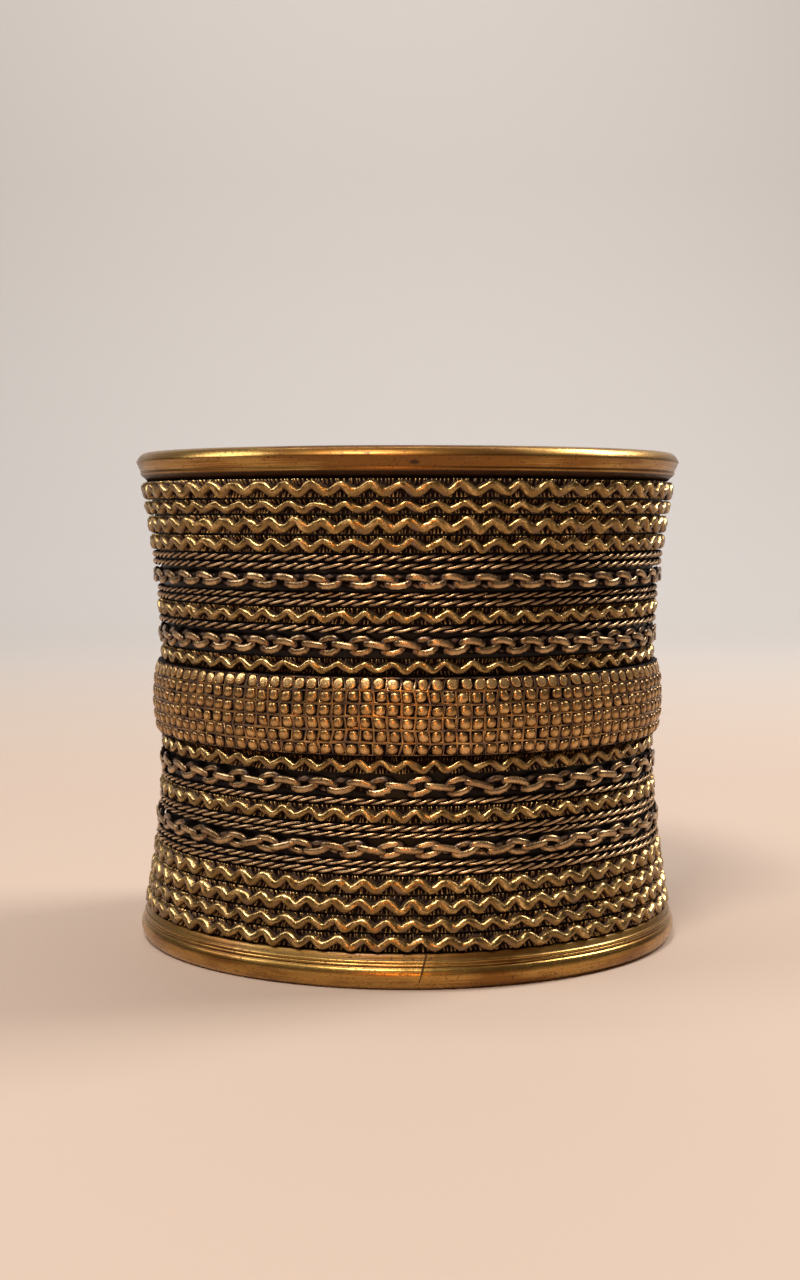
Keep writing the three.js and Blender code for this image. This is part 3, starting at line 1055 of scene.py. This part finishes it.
def crack(along, reach, up, rub_and_light):
    """Crowds a rim's steps about the crack and cuts it in. Gives the new places, half widths and rub."""
    share = 2 * along / LENGTH
    crowded = LENGTH / 2 * ((1 - CRACK_CROWDING) * share + CRACK_CROWDING * share ** 3)
    in_crack = (np.abs(crowded) < CRACK_WIDTH) & (up > CRACK_FOOT["up"] * MM)
    middle_step = np.abs(share) < 1 / RIM_STEPS
    shift = crack_line(up) * np.clip(1 - np.abs(crowded) / (LENGTH / 2), 0, 1) ** CRACK_FADE
    cut = np.where(in_crack & middle_step, reach - CRACK_DEPTH, reach)
    return crowded + shift, cut, np.where(in_crack, 0.0, rub_and_light)


def rim(name, node, section, material, cracked):
    """Moulded rim that hooks over the edge of the wall."""
    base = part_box(node)[0].z - column(section, "up").min() * MM
    mesh, along, corner = stock(len(section), RIM_STEPS)
    up = base + column(section, "up")[corner] * MM
    reach = RIM_REACH - column(section, "inside")[corner] * MM
    reach = reach + (uneven(RIM_UNEVEN, along) - RIM_UNEVEN["by"]) * MM
    # Clean metal against tarnish, with painted shade on the lower rim's upper band
    rub_and_light = column(section, "clean_and_lit")[corner]
    if cracked:
        along, reach, rub_and_light = crack(along, reach, up, rub_and_light)
    move_to(mesh, along, reach, up)
    finish_piece(name, mesh, rub_and_light, node, material)


def sheet_wall(material):
    """The sheet that carries the rows, dark outside and polished inside."""
    low, high = row_span("cuff_wall")
    levels = np.linspace(high, low, WALL_LEVELS)
    mesh, along, corner = stock(2 * WALL_LEVELS, SHEET_STEPS)
    up = np.concatenate((levels, levels[::-1]))[corner]
    inner = corner >= WALL_LEVELS
    move_to(mesh, along, wall_face(up) - np.where(inner, WALL_THICKNESS, 0), up)
    finish_piece("sheet_wall", mesh, inner.astype(float), "cuff_wall", material)


def floor_and_backdrop():
    """Pale floor that sweeps up into a backdrop."""
    profile = [(FLOOR_FRONT, 0.0), (FLOOR_BACK, 0.0)]
    for step in range(1, SWEEP_STEPS + 1):
        turn = math.pi / 2 * step / SWEEP_STEPS
        profile.append((FLOOR_BACK + SWEEP_RADIUS * math.sin(turn), SWEEP_RADIUS * (1 - math.cos(turn))))
    profile.append((FLOOR_BACK + SWEEP_RADIUS, BACKDROP_TOP))
    shape = bmesh.new()
    line = [shape.verts.new((-FLOOR_HALF_WIDTH, y, z)) for y, z in profile]
    edges = [shape.edges.new((line[i], line[i + 1])) for i in range(len(line) - 1)]
    across = (2 * FLOOR_HALF_WIDTH, 0, 0)
    bmesh.ops.spin(shape, geom=line + edges, axis=(1, 0, 0), dvec=across, steps=1)
    bmesh.ops.recalc_face_normals(shape, faces=shape.faces)
    mesh = mesh_of(shape)
    mesh.polygons.foreach_set("use_smooth", [True] * len(mesh.polygons))
    mesh.materials.append(floor_paint())
    floor = bpy.data.objects.new("floor", mesh)
    bpy.context.scene.collection.objects.link(floor)


def soft_room():
    """Even light from all round."""
    world = bpy.data.worlds.new("soft_room")
    world.use_nodes = True
    background = world.node_tree.nodes["Background"]
    background.inputs["Color"].default_value = ROOM_COLOUR
    background.inputs["Strength"].default_value = ROOM_STRENGTH
    bpy.context.scene.world = world


def lamp(row):
    """A flat rectangular lamp that faces its aim."""
    data = bpy.data.lights.new(row["name"], "AREA")
    data.shape = "RECTANGLE"
    data.size, data.size_y = row["sides"]
    data.energy = row["power"]
    data.color = row["colour"]
    light = bpy.data.objects.new(row["name"], data)
    light.location = row["place"]
    light.rotation_euler = (Vector(row["aim"]) - Vector(row["place"])).to_track_quat("-Z", "Y").to_euler()
    bpy.context.scene.collection.objects.link(light)


def photo_camera():
    """The photograph's view: a little above the waist, nearly level."""
    data = bpy.data.cameras.new("photo")
    data.sensor_width = CAMERA_SENSOR
    data.lens = CAMERA_LENS
    data.clip_start = CAMERA_CLIP
    camera = bpy.data.objects.new("photo", data)
    camera.location = (CAMERA_SIDE, CENTRE_Y - CAMERA_DISTANCE, CAMERA_HEIGHT)
    camera.rotation_euler = (math.pi / 2 - CAMERA_TILT, 0, 0)
    bpy.context.scene.collection.objects.link(camera)
    bpy.context.scene.camera = camera


zigzag_brass = antique_brass(
    "zigzag_brass", crest=(0.98, 0.65, 0.27, 1), body=(0.225, 0.135, 0.045, 1), recess=GROUND,
    bared_from=0.25, bared_to=0.62, mottle=0.6,
)
rope_brass = antique_brass(
    "rope_brass", crest=(0.90, 0.61, 0.33, 1), body=(0.31, 0.19, 0.095, 1), recess=PATINA,
    bared_from=0.36, bared_to=0.66, mottle=0.25,
)
chain_brass = antique_brass(
    "chain_brass", crest=(0.74, 0.49, 0.25, 1), body=(0.20, 0.12, 0.056, 1), recess=PATINA,
    bared_from=0.32, bared_to=0.72, mottle=0.25,
)
bead_brass = antique_brass(
    "bead_brass", crest=(1.0, 0.62, 0.26, 1), body=(0.29, 0.16, 0.057, 1), recess=PATINA,
    bared_from=0.22, bared_to=0.6, mottle=0.5,
)
rim_brass = polished_brass(
    "rim_brass", bright=(0.48, 0.27, 0.066, 1), warm_tarnish_and_reflection=(0.23, 0.095, 0.015, 1), tarnish_and_shade=TARNISH_AND_SHADE,
    grime_from=0.05, grime_to=0.75,
)
wall_brass = polished_brass(
    "wall_brass", bright=(0.50, 0.31, 0.10, 1), warm_tarnish_and_reflection=(0.32, 0.17, 0.04, 1), tarnish_and_shade=PATINA,
    grime_from=0.3, grime_to=0.7,
)

sheet_wall(wall_brass)
rim("lower_rim", "bottom_rim", BOTTOM_RIM_SECTION, rim_brass, cracked=True)
rim("upper_rim", "top_rim", TOP_RIM_SECTION, rim_brass, cracked=False)
tick_stock = tick_row()
for number, strip in enumerate(ZIGZAGS):
    zigzag_strip(strip, tick_stock, ZIGZAG_DRAW + DRAWS_PER_ROW * number, zigzag_brass)
bpy.data.meshes.remove(tick_stock[0])
for number, row in enumerate(ROPES):
    rope(row, ROPE_DRAW + DRAWS_PER_ROW * number, rope_brass)
for number, row in enumerate(CHAINS):
    chain(row, CHAIN_DRAW + DRAWS_PER_ROW * number, chain_brass)
bead_band(bead_brass)
floor_and_backdrop()
soft_room()
for row in LAMPS:
    lamp(row)
photo_camera()
bpy.context.scene.view_settings.view_transform = "Standard"
